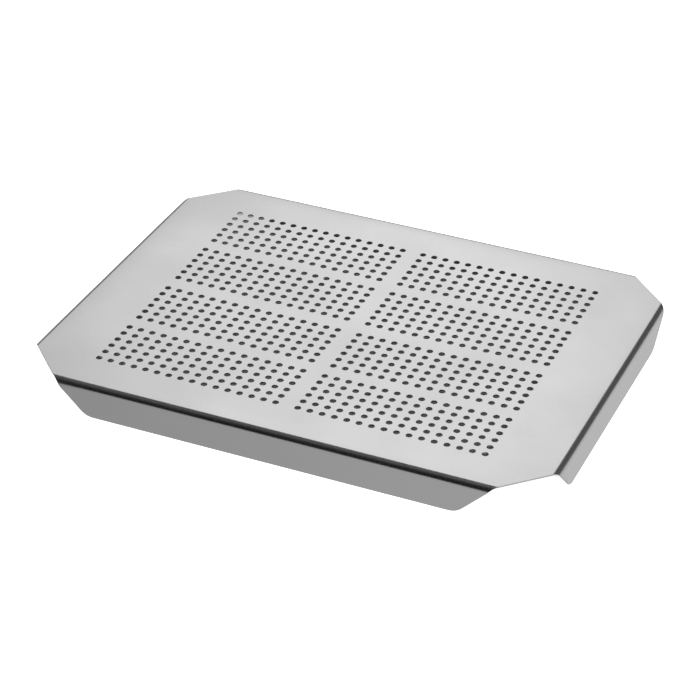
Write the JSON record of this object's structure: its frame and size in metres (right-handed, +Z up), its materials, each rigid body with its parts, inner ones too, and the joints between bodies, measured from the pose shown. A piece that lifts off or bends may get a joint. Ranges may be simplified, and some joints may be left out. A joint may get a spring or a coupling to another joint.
{
  "type": "perforated bakery tray",
  "caption": "Flat perforated steel tray for baking and airing bread, with all sides folded down as stiffening flanges and clipped corners.",
  "frame": {"origin": "centre of the footprint, on the surface that the four flanges stand on", "axes": "+Z up out of the deck, +X along the long sides, front flange on -Y"},
  "size_m": [0.433, 0.333, 0.028],
  "materials": {
    "brushed_stainless": "fine satin brushed stainless sheet, as rolled and linished, cut edges deburred"
  },
  "bodies": {
    "root": {"perforated_deck": "brushed_stainless", "front_flange": "brushed_stainless", "rear_flange": "brushed_stainless", "left_flange": "brushed_stainless", "right_flange": "brushed_stainless"}
  },
  "joints": []
}
